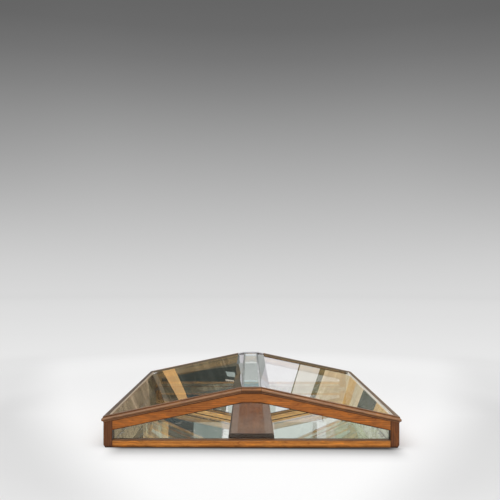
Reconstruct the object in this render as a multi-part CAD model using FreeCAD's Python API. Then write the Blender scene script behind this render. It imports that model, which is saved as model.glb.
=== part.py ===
import FreeCAD, Part
import math
import os

# Countertop display case: a low oak case with a glazed gable at each end, a glass roof of two slopes
# and a flat ridge strip, a mirrored floor with a raised centre board, and solid side boards. The rear
# gable is a drop flap on two brass butt hinges, held shut by a turn button on each rear post.
# X runs along the gables, Y from the front gable to the rear one, Z up. The origin is on the
# underside, midway between the outer faces of the corner posts. All sizes are in millimetres, and
# "plumb" means measured straight up.

Vector = FreeCAD.Vector

# Outer form
case_width = 600.0  # over the corner posts
case_depth = 612.0
eave_height = 62.0  # to the outer top edge of the cap moulding
roof_pitch = math.radians(12.0)
ridge_width = 40.4

# Frame members
post_width = 18.0  # also the thickness of the side boards
frame_thickness = 18.0  # of the two gable frames, front to rear
bottom_rail_height = 15.0
gable_rail_height = 20.5  # plumb, under the cap moulding
post_chamfer = 1.2
post_wear_width = 4.0  # corner worn off the foot of each post: along the gable,
post_wear_depth = 12.0  # along the side
post_wear_height = 6.0  # and up the post
sight_chamfer = 1.4
tenon_length = 9.0
tenon_thickness = 5.0
tenon_setback = 2.5  # from the outer face of the gable
tenon_shoulder = 2.5  # left above and below each tenon

# Floor
base_thickness = 6.5
base_lap = 6.0  # how far the base board is let into the frame
mirror_thickness = 3.5
centre_board_width = 94.0
centre_board_rise = 14.5  # above the mirrors
centre_board_chamfer = 4.0
fit_clearance = 0.3

# Cap moulding
cap_overhang = 3.5
cap_height = 11.5
cap_body_width = 8.0
cap_lip_width = 4.0  # laps the edge of the roof glass
cap_fillet_depth = 1.4  # square step at the top of the front
cap_fillet_setback = 2.6
cap_quirk = 0.5  # depth of the groove between the fillet and the bead
cap_bead_setback = 2.6  # of the bead's edges from its nose
cap_bead_height = 7.2
cap_foot_setback = 3.0  # of the flat under the bead
cap_arris = 0.8

# Roof glass
roof_glass_thickness = 4.1  # plumb
roof_glass_recess = 3.0  # of the glass face below the cap moulding's top line
bevel_depth = 1.8  # of every bevel beside the ridge
pane_bevel_width = 17.5  # along the panes' upper edges
strip_bevel_width = 4.5  # along both edges of the ridge strip
eave_bevel_width = 9.0  # along the panes' lower edges
eave_bevel_depth = 1.0
pane_joint = 0.4
lip_clearance = 0.02

# Gable glazing
front_glass_setback = 9.5
gable_glass_thickness = 3.0
glass_rebate = 5.0
bead_chamfer = 1.5

# Rear drop flap
head_rail_height = 5.5  # plumb
flap_thickness = 12.0
flap_gap = 1.0
flap_stile_width = 15.0
flap_bottom_rail_height = 13.0
flap_glass_setback = 4.0
flap_edge_bevel = math.radians(16.0)  # lets the top edge swing clear of the head rail
stop_width = 6.0
stop_clearance = 0.3

# Butt hinges
hinge_end_margin = 76.0  # from each end of the flap
hinge_length = 50.0
hinge_leaf_width = 9.0
hinge_leaf_thickness = 1.1
hinge_leaf_gap = 0.2
hinge_knuckles = 5
knuckle_radius = 2.6
knuckle_gap = 0.3
knuckle_clearance = 0.3  # from the rear faces
pin_radius = 1.2
pin_clearance = 0.05
pin_head_radius = 2.0
pin_head_length = 0.9

# Countersunk screws
hinge_screw_margin = 3.5  # from the end of a leaf to a screw's head
screw_radius = 1.1
screw_head_radius = 2.1
screw_head_depth = 1.0
screw_length = 8.0
screw_slot_width = 0.6
screw_slot_depth = 0.4
base_screw_cover = 0.5  # wood left over the points of the base screws
base_screw_count_across = 4
base_screw_count_along = 3
base_screw_end_margin = 90.0

# Brass knob and turn buttons
knob_radius = 6.5
knob_projection = 12.0
knob_plate_thickness = 1.2
knob_plate_inset = 1.0
knob_neck_radius = 2.8
knob_lip = 1.6  # from the rim in to where the neck starts to spread
knob_brim_thickness = 1.8
knob_crown_radius = 3.6
knob_crown_drop = 0.5
knob_tip_radius = 0.8
knob_stud_radius = 2.0
knob_stud_length = 6.0
button_height = 38.0
button_reach = 15.0
button_eye_radius = 5.0
button_tip_radius = 3.5
button_thickness = 2.4
button_clearance = 0.3
button_screw_radius = 1.6
button_screw_head_radius = 3.2
button_screw_head_height = 1.5
button_screw_depth = 9.0

# Cutting shapes
cut_margin = 10.0  # reach past what they cut
chamfer_overcut = 0.5

# Places that follow from the sizes
slope = math.tan(roof_pitch)
outer_x = case_width / 2
outer_y = case_depth / 2
inner_x = outer_x - post_width
inner_y = outer_y - frame_thickness
cap_x = outer_x + cap_overhang
cap_y = outer_y + cap_overhang
tongue_x = cap_x - cap_body_width
tongue_y = cap_y - cap_body_width
ridge_half = ridge_width / 2
floor_height = base_thickness + mirror_thickness
base_screw_length = bottom_rail_height - glass_rebate - base_screw_cover
seat_drop = roof_glass_recess + roof_glass_thickness
sight_drop = cap_height + gable_rail_height
cap_lip_depth = roof_glass_recess - lip_clearance
flap_x = inner_x - flap_gap
flap_bottom = bottom_rail_height + flap_gap
flap_drop = cap_height + head_rail_height + flap_gap
flap_inner_y = outer_y - flap_thickness
hinge_y = outer_y + knuckle_clearance + knuckle_radius
hinge_z = bottom_rail_height + flap_gap / 2
hinge_x = flap_x - hinge_end_margin - hinge_length / 2
button_x = outer_x - post_width / 2
sky = eave_height + cap_x * slope + cut_margin  # above everything


# Roof geometry

def roof_height(x):
    """Height of the cap moulding's top line over the point x of a gable."""
    return eave_height + (cap_x - max(abs(x), ridge_half)) * slope


def roof_line(half_width, drop, y):
    """The roof's outline at y, lowered by drop, from the left eave to the right one."""
    return [Vector(x, y, roof_height(x) - drop) for x in (-half_width, -ridge_half, ridge_half, half_width)]


def polygon_face(points):
    return Part.Face(Part.makePolygon(points + points[:1]))


def box(x0, x1, y0, y1, z0, z1):
    """Box between two values on each axis, given in either order."""
    low = Vector(min(x0, x1), min(y0, y1), min(z0, z1))
    return Part.makeBox(abs(x1 - x0), abs(y1 - y0), abs(z1 - z0), low)


def gable_block(half_width, bottom, drop, y0, y1):
    """Solid with a level foot whose top follows the roof, lowered by drop."""
    foot = [Vector(half_width, y0, bottom), Vector(-half_width, y0, bottom)]
    return polygon_face(roof_line(half_width, drop, y0) + foot).extrude(Vector(0, y1 - y0, 0))


def above_roof(half_width, half_depth, drop):
    """Everything above the roof's outline lowered by drop, within the given plan."""
    top = [Vector(half_width, -half_depth, sky), Vector(-half_width, -half_depth, sky)]
    outline = roof_line(half_width, drop, -half_depth) + top
    return polygon_face(outline).extrude(Vector(0, 2 * half_depth, 0))


def crown_cut():
    """What is taken off the frame's top: the shoulder for the cap moulding and the seat for the glass."""
    wide, deep = cap_x + cut_margin, cap_y + cut_margin
    tongue = box(-tongue_x, tongue_x, -tongue_y, tongue_y, 0, sky + cut_margin)
    return above_roof(wide, deep, cap_height).cut(tongue).fuse(above_roof(wide, deep, seat_drop))


def window_wire(half_width, bottom, y, grow=0.0):
    """Outline of a gable window at y: level foot, upright sides, raking heads and an arched crown.

    The arc is tangent to both raking heads and touches the level line under the ridge.
    """
    radius = ridge_half / math.tan(roof_pitch / 2) + grow
    crown = roof_height(0) - sight_drop + grow
    side, foot = half_width + grow, bottom - grow
    turn_x = radius * math.sin(roof_pitch)
    turn_z = crown - radius * (1 - math.cos(roof_pitch))
    eave_z = turn_z - (side - turn_x) * slope
    corners = [(-turn_x, turn_z), (-side, eave_z), (-side, foot), (side, foot), (side, eave_z), (turn_x, turn_z)]
    points = [Vector(x, y, z) for x, z in corners]
    edges = [Part.makeLine(a, b) for a, b in zip(points, points[1:])]
    edges.append(Part.Arc(points[-1], Vector(0, y, crown), points[0]).toShape())
    return Part.Wire(edges)


def window_block(half_width, bottom, y0, y1, grow=0.0):
    return Part.Face(window_wire(half_width, bottom, y0, grow)).extrude(Vector(0, y1 - y0, 0))


def window_chamfer(half_width, bottom, face_y, inward, size):
    """Cutter for the chamfer round a window, on the face at face_y; inward points into the wood."""
    out = chamfer_overcut
    wide = window_wire(half_width, bottom, face_y - inward * out, size + out)
    narrow = window_wire(half_width, bottom, face_y + inward * size, 0.0)
    return Part.makeLoft([wide, narrow], True, True)


def glazing_beads(half_width, bottom, y0, y1, room_side):
    """Four slips round a window between y0 and y1, chamfered on the side that faces the room."""
    ring = window_block(half_width, bottom, y0, y1, glass_rebate)
    ring = ring.cut(window_block(half_width, bottom, y0, y1))
    inward = 1 if room_side < (y0 + y1) / 2 else -1
    ring = ring.cut(window_chamfer(half_width, bottom, room_side, inward, bead_chamfer))
    far = half_width + glass_rebate
    cells = [
        box(-far, far, y0, y1, bottom - glass_rebate, bottom),
        box(-far, -half_width, y0, y1, bottom, sky),
        box(half_width, far, y0, y1, bottom, sky),
        box(-half_width, half_width, y0, y1, bottom, sky),
    ]
    return Part.makeCompound([only_solid(ring.common(cell)) for cell in cells])


def only_solid(shape):
    """The single solid of a shape, without the compound that a cut leaves round it."""
    if len(shape.Solids) != 1:
        raise ValueError(f"expected one solid, found {len(shape.Solids)}")
    return shape.Solids[0]


# Screws

def screw(head, axis, length, slotted=True):
    """Countersunk screw whose head face is centred on head, pointing along axis."""
    up = Vector(0, 0, 1)
    body = Part.makeCone(screw_head_radius, screw_radius, screw_head_depth, Vector(), up)
    body = body.fuse(Part.makeCylinder(screw_radius, length, Vector(), up)).removeSplitter()
    if slotted:
        half = screw_slot_width / 2
        body = body.cut(box(-screw_head_radius, screw_head_radius, -half, half, -1, screw_slot_depth))
    body.Placement = FreeCAD.Placement(head, FreeCAD.Rotation(up, axis))
    return body


def base_screw_places():
    """Screw centres on the underside, in the middle of the lap of the base board."""
    rail_y = inner_y + base_lap / 2
    side_x = inner_x + base_lap / 2
    places = []
    for sign in (-1, 1):
        for x in spread(inner_x - base_screw_end_margin, base_screw_count_across):
            places.append(Vector(x, sign * rail_y, 0))
        for y in spread(inner_y - base_screw_end_margin, base_screw_count_along):
            places.append(Vector(sign * side_x, y, 0))
    return places


def spread(reach, count):
    """Evenly spaced values from -reach to reach."""
    return [-reach + 2 * reach * i / (count - 1) for i in range(count)]


def base_screws(slotted=True):
    return [screw(place, Vector(0, 0, 1), base_screw_length, slotted) for place in base_screw_places()]


def hinge_centres():
    return (-hinge_x, hinge_x)


def hinge_screw_places(leaf_z):
    """Centres of the screw heads of both hinges, on the inner face of a leaf."""
    y = outer_y - hinge_leaf_width / 2
    offset = hinge_length / 2 - screw_head_radius - hinge_screw_margin
    return [Vector(x + side * offset, y, leaf_z) for x in hinge_centres() for side in (-1, 1)]


def case_hinge_screws(slotted=True):
    places = hinge_screw_places(hinge_z - hinge_leaf_gap / 2)
    return [screw(place, Vector(0, 0, -1), screw_length, slotted) for place in places]


def flap_hinge_screws(slotted=True):
    places = hinge_screw_places(hinge_z + hinge_leaf_gap / 2)
    return [screw(place, Vector(0, 0, 1), screw_length, slotted) for place in places]


# Floor of the case

def base_board_solid(clearance=0.0):
    x, y = inner_x + base_lap - clearance, inner_y + base_lap - clearance
    return box(-x, x, -y, y, 0, base_thickness)


def floor_parts():
    """Base board, its screws, the two mirrors and the raised centre board."""
    base = base_board_solid(fit_clearance)
    for blank in base_screws(slotted=False):
        base = base.cut(blank)
    half = centre_board_width / 2
    length = inner_y - fit_clearance
    top = floor_height + centre_board_rise
    bevel = centre_board_chamfer
    profile = [(-half, base_thickness), (half, base_thickness), (half, top - bevel), (half - bevel, top)]
    profile += [(bevel - half, top), (-half, top - bevel)]
    board = polygon_face([Vector(x, -length, z) for x, z in profile]).extrude(Vector(0, 2 * length, 0))
    parts = {
        "base_board": base,
        "base_screws": Part.makeCompound(base_screws()),
        "centre_board": board,
    }
    for name, side in (("left", -1), ("right", 1)):
        near, far = side * (half + fit_clearance), side * (inner_x - fit_clearance)
        parts[f"mirror_{name}"] = box(near, far, -length, length, base_thickness, floor_height)
    return parts


# Frame of the case

def rail_tenon(side, face_y, inward, bottom, top):
    """Tenon of a rail into the post on one side, for a gable whose outer face is at face_y."""
    y0 = face_y + inward * tenon_setback
    return box(side * inner_x, side * (inner_x + tenon_length), y0, y0 + inward * tenon_thickness,
               bottom + tenon_shoulder, top - tenon_shoulder)


def gable_tenons(face_y, inward):
    """Every tenon of one gable frame, from left to right and from the foot up."""
    tenons = {}
    shoulder = roof_height(inner_x + tenon_length) - cap_height
    for side in (-1, 1):
        tenons["bottom", side] = rail_tenon(side, face_y, inward, 0, bottom_rail_height)
        if inward > 0:
            foot = roof_height(inner_x) - sight_drop
            tenons["gable", side] = rail_tenon(side, face_y, inward, foot, shoulder)
    return tenons


def worn_corner(side, end):
    """The corner that use has taken off the foot of one post."""
    corner = Vector(side * outer_x, end * outer_y, 0)
    across = corner + Vector(-side * post_wear_width, 0, 0)
    along = corner + Vector(0, -end * post_wear_depth, 0)
    up = corner + Vector(0, 0, post_wear_height)
    sides = ((corner, across, along), (corner, across, up), (corner, along, up), (across, along, up))
    wedge = Part.Solid(Part.Shell([polygon_face(list(points)) for points in sides]))
    if wedge.Volume < 0:
        wedge.reverse()
    return wedge


def corner_post(side, end, crown):
    """One corner post, chamfered down its outer corner and let into at its foot for the base board."""
    inward = -end
    face_y = end * outer_y
    post = box(side * outer_x, side * inner_x, face_y, end * inner_y, 0, sky)
    corner = [edge for edge in post.Edges
              if all(abs(v.X - side * outer_x) < 1e-6 and abs(v.Y - face_y) < 1e-6 for v in edge.Vertexes)]
    post = post.makeChamfer(post_chamfer, corner).cut(worn_corner(side, end))
    post = post.cut(crown).cut(base_board_solid())
    for (_, tenon_side), tenon in gable_tenons(face_y, inward).items():
        if tenon_side == side:
            post = post.cut(tenon)
    return post


def bottom_rail(end):
    """Bottom rail of one gable with its two tenons."""
    face_y, inward = end * outer_y, -end
    rail = box(-inner_x, inner_x, face_y, end * inner_y, 0, bottom_rail_height)
    for (kind, _), tenon in gable_tenons(face_y, inward).items():
        if kind == "bottom":
            rail = rail.fuse(tenon)
    rail = rail.removeSplitter().cut(base_board_solid())
    for blank in base_screws(slotted=False):
        rail = rail.cut(blank)
    return rail


def front_window_cuts():
    """Sight opening with its chamfer, and the rebate behind it for the glass."""
    chamfer = window_chamfer(inner_x, bottom_rail_height, -outer_y, 1, sight_chamfer)
    rebate = window_block(inner_x, bottom_rail_height, front_glass_setback - outer_y, -inner_y, glass_rebate)
    return chamfer.fuse(rebate)


def frame_parts():
    """Posts, bottom rails, side boards, the front gable rail and the slim rear head rail."""
    crown = crown_cut()
    window = front_window_cuts()
    parts = {}
    for end_name, end in (("front", -1), ("rear", 1)):
        for side_name, side in (("left", -1), ("right", 1)):
            post = corner_post(side, end, crown)
            parts[f"{end_name}_{side_name}_post"] = post.cut(window) if end < 0 else post
        parts[f"{end_name}_bottom_rail"] = bottom_rail(end)
    parts["front_bottom_rail"] = parts["front_bottom_rail"].cut(window)

    rail = gable_block(inner_x, bottom_rail_height, seat_drop, -outer_y, -inner_y).cut(crown)
    rail = rail.cut(window_block(inner_x, bottom_rail_height, -outer_y, -inner_y)).cut(window)
    for (kind, _), tenon in gable_tenons(-outer_y, 1).items():
        if kind == "gable":
            rail = rail.fuse(tenon)
    parts["front_gable_rail"] = rail.removeSplitter()

    head = gable_block(inner_x, bottom_rail_height, seat_drop, inner_y, outer_y).cut(crown)
    parts["rear_head_rail"] = head.cut(head_rail_underside())

    for blank in button_screws():
        for name in ("rear_left_post", "rear_right_post"):
            parts[name] = parts[name].cut(blank)
    for name, side in (("left", -1), ("right", 1)):
        board = box(side * outer_x, side * inner_x, -inner_y, inner_y, 0, sky).cut(crown)
        board = board.cut(base_board_solid())
        for blank in base_screws(slotted=False):
            board = board.cut(blank)
        parts[f"{name}_side_board"] = board
    for cutter in hinge_recesses(hinge_z - hinge_leaf_gap / 2 - hinge_leaf_thickness, bottom_rail_height):
        parts["rear_bottom_rail"] = parts["rear_bottom_rail"].cut(cutter)
    for blank in case_hinge_screws(slotted=False):
        parts["rear_bottom_rail"] = parts["rear_bottom_rail"].cut(blank)
    return {name: only_solid(shape) for name, shape in parts.items()}


def edge_profile(outer_drop):
    """Drop of the flap's slanted top edge at its outer face and at its inner one."""
    return outer_drop, outer_drop + flap_thickness * math.tan(flap_edge_bevel)


def raked_slab(half_width, drop_outer, drop_inner, y_outer, y_inner, bottom):
    """Block under the roof line whose top falls from drop_outer at y_outer to drop_inner at y_inner."""
    wires = []
    for y, drop in ((y_outer, drop_outer), (y_inner, drop_inner)):
        foot = [Vector(half_width, y, bottom), Vector(-half_width, y, bottom)]
        points = roof_line(half_width, drop, y) + foot
        wires.append(Part.makePolygon(points + points[:1]))
    return Part.makeLoft(wires, True, True)


def head_rail_underside():
    """Everything under the head rail: parallel to the flap's bevelled edge, level over the stops."""
    outer, inner = edge_profile(cap_height + head_rail_height)
    over_flap = raked_slab(inner_x, outer, inner, outer_y, flap_inner_y, 0)
    over_stops = gable_block(inner_x, 0, inner, inner_y, flap_inner_y)
    return over_flap.fuse(over_stops)


# Front glazing

def front_glazing_parts():
    glass_y = front_glass_setback - outer_y
    back_y = glass_y + gable_glass_thickness
    glass = window_block(inner_x, bottom_rail_height, glass_y, back_y, glass_rebate - fit_clearance)
    return {
        "front_glass": glass,
        "front_glazing_beads": glazing_beads(inner_x, bottom_rail_height, back_y, -inner_y, -inner_y),
    }


# Cap moulding

def cap_profile(place):
    """Section of the cap moulding; place turns a distance in from the nose and a drop into a point.

    From the top inner corner outwards: a level top, a square fillet, a quirk, a bold bead and the flat
    under it, then the seat on the rail and the lip over the glass.
    """
    quirk_drop = cap_fillet_depth + cap_quirk
    bead_top = quirk_drop + cap_quirk
    bead_foot = bead_top + cap_bead_height
    body, wide = cap_body_width, cap_body_width + cap_lip_width

    def line(a, b):
        return Part.makeLine(place(*a), place(*b))

    def arc(a, b, c):
        return Part.Arc(place(*a), place(*b), place(*c)).toShape()

    edges = [
        line((wide - cap_arris, 0), (cap_fillet_setback, 0)),
        line((cap_fillet_setback, 0), (cap_fillet_setback, cap_fillet_depth)),
        line((cap_fillet_setback, cap_fillet_depth), (cap_fillet_setback + cap_quirk, quirk_drop)),
        line((cap_fillet_setback + cap_quirk, quirk_drop), (cap_bead_setback, bead_top)),
        arc((cap_bead_setback, bead_top), (0, (bead_top + bead_foot) / 2), (cap_bead_setback, bead_foot)),
        line((cap_bead_setback, bead_foot), (cap_foot_setback, bead_foot + cap_quirk)),
        line((cap_foot_setback, bead_foot + cap_quirk), (cap_foot_setback, cap_height)),
        line((cap_foot_setback, cap_height), (body, cap_height)),
        line((body, cap_height), (body, cap_lip_depth)),
        line((body, cap_lip_depth), (wide, cap_lip_depth)),
        line((wide, cap_lip_depth), (wide, cap_arris)),
        line((wide, cap_arris), (wide - cap_arris, 0)),
    ]
    return Part.Face(Part.Wire(edges))


def mitre_prism(corners):
    """Upright prism over a plan outline, tall enough for any piece of the cap moulding."""
    return polygon_face([Vector(x, y, 0) for x, y in corners]).extrude(Vector(0, 0, sky))


def cap_parts():
    """Eight mitred lengths: two raking and one level on each gable, and one along each side.

    The raking lengths keep every point of the section plumb over the gable. The side lengths have
    the same section sheared to the roof's slope, so that the two meet on the corner mitres.
    """
    reach = cap_body_width + cap_lip_width + cut_margin
    parts = {}
    for end_name, end in (("front", -1), ("rear", 1)):
        miter = mitre_prism([(-cap_x, end * cap_y), (cap_x, end * cap_y),
                             (cap_x - reach, end * (cap_y - reach)), (reach - cap_x, end * (cap_y - reach))])
        for side_name, side in (("left", -1), ("right", 1)):
            run = cap_x - ridge_half
            section = cap_profile(lambda inset, drop: Vector(
                side * cap_x, end * (cap_y - inset), eave_height - drop))
            length = section.extrude(Vector(-side * run, 0, run * slope))
            parts[f"cap_{end_name}_{side_name}"] = length.common(miter)
        section = cap_profile(lambda inset, drop: Vector(
            -ridge_half, end * (cap_y - inset), roof_height(0) - drop))
        parts[f"cap_{end_name}_ridge"] = section.extrude(Vector(ridge_width, 0, 0))
    for side_name, side in (("left", -1), ("right", 1)):
        miter = mitre_prism([(side * cap_x, -cap_y), (side * cap_x, cap_y),
                             (side * (cap_x - reach), cap_y - reach), (side * (cap_x - reach), reach - cap_y)])
        section = cap_profile(lambda inset, drop: Vector(
            side * (cap_x - inset), -cap_y, eave_height - drop + inset * slope))
        parts[f"cap_{side_name}"] = section.extrude(Vector(0, 2 * cap_y, 0)).common(miter)
    return {name: only_solid(shape) for name, shape in parts.items()}


# Roof glass

def bevelled_pane(x0, x1, bevel0, bevel1):
    """One roof pane from x0 to x1, with the width and depth of the bevel along each of those edges."""
    y1 = tongue_y - fit_clearance
    (width0, depth0), (width1, depth1) = bevel0, bevel1
    thick = roof_glass_thickness

    def at(x, lift):
        return Vector(x, -y1, roof_height(x) - seat_drop + lift)

    section = [at(x0, 0), at(x0, thick - depth0), at(x0 + width0, thick),
               at(x1 - width1, thick), at(x1, thick - depth1), at(x1, 0)]
    return polygon_face(section).extrude(Vector(0, 2 * y1, 0))


def roof_glass_parts():
    eave = tongue_x - fit_clearance
    edge = ridge_half + pane_joint / 2
    strip = ridge_half - pane_joint / 2
    low = eave_bevel_width, eave_bevel_depth
    high = pane_bevel_width, bevel_depth
    side = strip_bevel_width, bevel_depth
    return {
        "left_roof_glass": bevelled_pane(-eave, -edge, low, high),
        "ridge_glass": bevelled_pane(-strip, strip, side, side),
        "right_roof_glass": bevelled_pane(edge, eave, high, low),
    }


# Rear drop flap

def stop_parts():
    """Slips round the inside of the rear opening that the flap shuts against."""
    y0, y1 = inner_y, flap_inner_y - stop_clearance
    _, inner_drop = edge_profile(cap_height + head_rail_height)
    under = gable_block(inner_x, 0, inner_drop, y0, y1)
    top_slip = under.cut(gable_block(inner_x, 0, inner_drop + stop_width, y0, y1))
    slips = [only_solid(top_slip)]
    for side in (-1, 1):
        slip = box(side * inner_x, side * (inner_x - stop_width), y0, y1, bottom_rail_height, sky)
        slips.append(only_solid(slip.common(gable_block(inner_x, 0, inner_drop + stop_width, y0, y1))))
    return {"flap_stop_slips": Part.makeCompound(slips)}


def flap_parts():
    """Frame, glass and beads of the flap, shut."""
    sight_x = flap_x - flap_stile_width
    sight_bottom = flap_bottom + flap_bottom_rail_height
    outer_drop, inner_drop = edge_profile(flap_drop)
    blank = raked_slab(flap_x, outer_drop, inner_drop, outer_y, flap_inner_y, flap_bottom)
    glass_y = outer_y - flap_glass_setback
    back_y = glass_y - gable_glass_thickness
    blank = blank.cut(window_block(sight_x, sight_bottom, flap_inner_y, outer_y))
    blank = blank.cut(window_chamfer(sight_x, sight_bottom, outer_y, -1, sight_chamfer))
    blank = blank.cut(window_block(sight_x, sight_bottom, flap_inner_y, glass_y, glass_rebate))
    cells = {
        "flap_left_stile": box(-flap_x, -sight_x, flap_inner_y, outer_y, 0, sky),
        "flap_right_stile": box(sight_x, flap_x, flap_inner_y, outer_y, 0, sky),
        "flap_bottom_rail": box(-sight_x, sight_x, flap_inner_y, outer_y, 0, sight_bottom),
        "flap_top_rail": box(-sight_x, sight_x, flap_inner_y, outer_y, sight_bottom, sky),
    }
    parts = {name: blank.common(cell) for name, cell in cells.items()}
    for cutter in hinge_recesses(flap_bottom, hinge_z + hinge_leaf_gap / 2 + hinge_leaf_thickness):
        parts["flap_bottom_rail"] = parts["flap_bottom_rail"].cut(cutter)
    for hole in flap_hinge_screws(slotted=False):
        parts["flap_bottom_rail"] = parts["flap_bottom_rail"].cut(hole)
    parts["flap_top_rail"] = parts["flap_top_rail"].cut(knob_stud())
    parts = {name: only_solid(shape) for name, shape in parts.items()}
    parts["flap_glass"] = window_block(sight_x, sight_bottom, back_y, glass_y, glass_rebate - fit_clearance)
    parts["flap_glazing_beads"] = glazing_beads(sight_x, sight_bottom, flap_inner_y, back_y, flap_inner_y)
    return parts


# Hinges

def hinge_recesses(z0, z1):
    """Sinkings for the leaves of both hinges between two heights."""
    half = hinge_length / 2 + fit_clearance
    depth = hinge_leaf_width + fit_clearance
    return [box(x - half, x + half, outer_y - depth, outer_y, z0, z1) for x in hinge_centres()]


def hinge_leaf(x, z0, first):
    """One leaf with its foot at z0 and every second knuckle from the one called first."""
    start = x - hinge_length / 2
    pitch = hinge_length / hinge_knuckles
    z1 = z0 + hinge_leaf_thickness
    leaf = box(start, start + hinge_length, outer_y - hinge_leaf_width, outer_y, z0, z1)
    for i in range(first, hinge_knuckles, 2):
        x0, x1 = start + i * pitch + knuckle_gap / 2, start + (i + 1) * pitch - knuckle_gap / 2
        leaf = leaf.fuse(box(x0, x1, outer_y - pin_radius, hinge_y, z0, z1))
        leaf = leaf.fuse(Part.makeCylinder(knuckle_radius, x1 - x0, Vector(x0, hinge_y, hinge_z), Vector(1, 0, 0)))
    bore = Part.makeCylinder(pin_radius + pin_clearance, hinge_length, Vector(start, hinge_y, hinge_z),
                             Vector(1, 0, 0))
    return leaf.removeSplitter().cut(bore)


def hinge_pin(x):
    """Pin through all the knuckles, with a button head at each end."""
    half = hinge_length / 2
    along = Vector(1, 0, 0)
    pin = Part.makeCylinder(pin_radius, hinge_length, Vector(x - half, hinge_y, hinge_z), along)
    for start in (x - half - pin_head_length, x + half):
        head = Part.makeCylinder(pin_head_radius, pin_head_length, Vector(start, hinge_y, hinge_z), along)
        pin = pin.fuse(head)
    return pin.removeSplitter()


def hinge_parts():
    parts = {}
    for name, x in zip(("left", "right"), hinge_centres()):
        case_leaf = hinge_leaf(x, hinge_z - hinge_leaf_gap / 2 - hinge_leaf_thickness, 0)
        flap_leaf = hinge_leaf(x, hinge_z + hinge_leaf_gap / 2, 1)
        for blank in case_hinge_screws(slotted=False):
            case_leaf = case_leaf.cut(blank)
        for blank in flap_hinge_screws(slotted=False):
            flap_leaf = flap_leaf.cut(blank)
        parts[f"{name}_hinge_case_leaf"] = only_solid(case_leaf)
        parts[f"{name}_hinge_flap_leaf"] = only_solid(flap_leaf)
        parts[f"{name}_hinge_pin"] = hinge_pin(x)
    parts["case_hinge_screws"] = Part.makeCompound(case_hinge_screws())
    parts["flap_hinge_screws"] = Part.makeCompound(flap_hinge_screws())
    return parts


# Knob and turn buttons

def knob_height():
    """Middle of the flap's top rail under the ridge."""
    return roof_height(0) - (flap_drop + sight_drop) / 2


def knob_stud():
    start = Vector(0, outer_y - knob_stud_length, knob_height())
    return Part.makeCylinder(knob_stud_radius, knob_stud_length, start, Vector(0, 1, 0))


def knob_part():
    """Turned brass knob: stud, back plate, waisted neck and domed head with a small flat at its tip."""
    z = knob_height()
    plate, tip = knob_plate_thickness, knob_projection
    brim = tip - knob_crown_radius
    waist = (plate + brim) / 2
    lip = knob_radius - knob_lip
    plate_rim = knob_radius - knob_plate_inset
    brim_edge = knob_radius - knob_brim_thickness / 2
    flat = knob_tip_radius

    def at(radius, out):
        return Vector(0, outer_y + out, z + radius)

    def line(a, b):
        return Part.makeLine(at(*a), at(*b))

    def arc(a, b, c):
        return Part.Arc(at(*a), at(*b), at(*c)).toShape()

    edges = [
        line((0, -knob_stud_length), (knob_stud_radius, -knob_stud_length)),
        line((knob_stud_radius, -knob_stud_length), (knob_stud_radius, 0)),
        line((knob_stud_radius, 0), (plate_rim, 0)),
        line((plate_rim, 0), (plate_rim, plate)),
        line((plate_rim, plate), (lip, plate)),
        arc((lip, plate), (knob_neck_radius, waist), (lip, brim)),
        arc((lip, brim), (knob_radius, brim + knob_brim_thickness / 2), (brim_edge, brim + knob_brim_thickness)),
        arc((brim_edge, brim + knob_brim_thickness), (knob_crown_radius, tip - knob_crown_drop), (flat, tip)),
        line((flat, tip), (0, tip)),
        line((0, tip), (0, -knob_stud_length)),
    ]
    knob = Part.Face(Part.Wire(edges)).revolve(Vector(0, outer_y, z), Vector(0, 1, 0), 360)
    return {"flap_knob": only_solid(knob)}


def button_screws():
    """Round-headed screws that the turn buttons swing on."""
    screws = []
    seat = outer_y + 2 * button_clearance + button_thickness
    into = Vector(0, 1, 0)
    for side in (-1, 1):
        x = side * button_x
        shank = Part.makeCylinder(button_screw_radius, seat - outer_y + button_screw_depth,
                                  Vector(x, outer_y - button_screw_depth, button_height), into)
        head = Part.makeCylinder(button_screw_head_radius, button_screw_head_height,
                                 Vector(x, seat, button_height), into)
        rim = [edge for edge in head.Edges if edge.Vertexes and edge.BoundBox.YMin > seat + 0.1]
        head = head.makeFillet(button_screw_head_height * 0.6, [e for e in rim if e.BoundBox.YLength < 1e-6])
        screws.append(shank.fuse(head).removeSplitter())
    return screws


def turn_button(side):
    """Tapered brass button hanging down from its screw, clear of the flap."""
    lean = math.asin((button_eye_radius - button_tip_radius) / button_reach)
    y0 = outer_y + button_clearance
    x, tip_z = side * button_x, button_height - button_reach

    def rim(centre_z, radius, sign):
        return Vector(x + sign * radius * math.cos(lean), y0, centre_z - radius * math.sin(lean))

    eye_left, eye_right = rim(button_height, button_eye_radius, -1), rim(button_height, button_eye_radius, 1)
    tip_left, tip_right = rim(tip_z, button_tip_radius, -1), rim(tip_z, button_tip_radius, 1)
    edges = [
        Part.Arc(eye_left, Vector(x, y0, button_height + button_eye_radius), eye_right).toShape(),
        Part.makeLine(eye_right, tip_right),
        Part.Arc(tip_right, Vector(x, y0, tip_z - button_tip_radius), tip_left).toShape(),
        Part.makeLine(tip_left, eye_left),
    ]
    plate = Part.Face(Part.Wire(edges)).extrude(Vector(0, button_thickness, 0))
    outer_rim = [edge for edge in plate.Edges if edge.BoundBox.YMin > y0 + button_thickness - 1e-6]
    plate = plate.makeChamfer(button_thickness * 0.25, outer_rim)
    bore = Part.makeCylinder(button_screw_radius + pin_clearance, button_thickness,
                             Vector(x, y0, button_height), Vector(0, 1, 0))
    return only_solid(plate.cut(bore))


def button_parts():
    return {
        "left_turn_button": turn_button(-1),
        "right_turn_button": turn_button(1),
        "turn_button_screws": Part.makeCompound(button_screws()),
    }


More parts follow.
